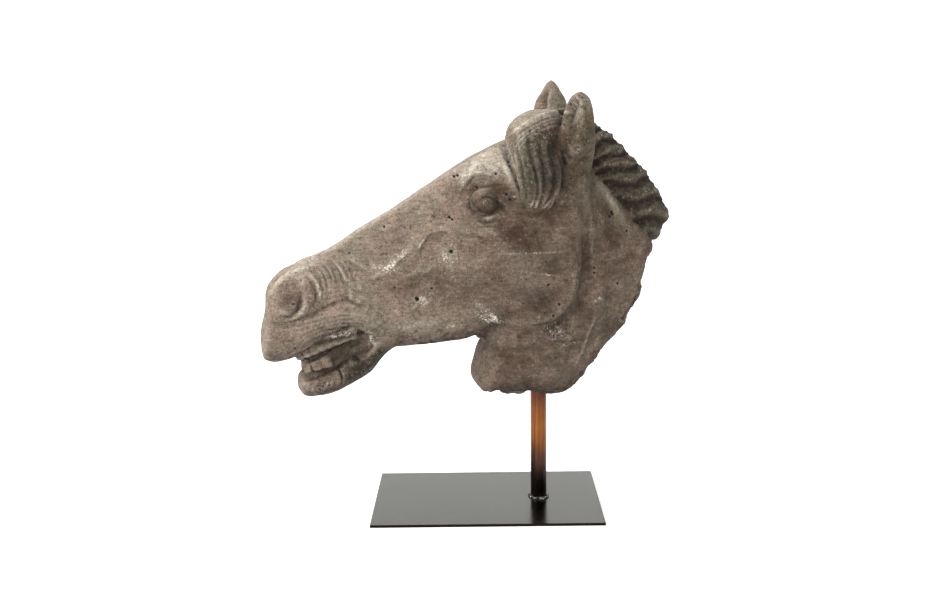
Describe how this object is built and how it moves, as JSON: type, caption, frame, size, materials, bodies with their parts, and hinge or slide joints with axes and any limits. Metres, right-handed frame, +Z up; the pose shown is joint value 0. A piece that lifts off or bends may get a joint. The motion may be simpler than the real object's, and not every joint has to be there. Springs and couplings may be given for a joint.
{
  "type": "horse head statue on stand",
  "caption": "Weathered cast stone horse head fragment, broken off at the neck, mounted on a copper-toned steel rod over a thin rectangular blackened steel base plate.",
  "frame": {"origin": "middle of the base plate's underside", "axes": "+Z up; the plate's long side runs along X and its short side along Y; the nose points towards -X, turned 12 degrees towards -Y"},
  "size_m": [0.4234, 0.174, 0.4441],
  "materials": {
    "cast_stone": "weathered grey-brown cast stone, matt, with dark grime in the hollows and pale chalky streaks",
    "coppered_steel": "copper-plated steel, satin, heat-darkened towards the welded foot",
    "blackened_steel": "satin blackened steel with burnished edges"
  },
  "bodies": {
    "root": {"horse_head": "cast_stone", "support_rod": "coppered_steel", "base_plate": "blackened_steel"}
  },
  "joints": []
}
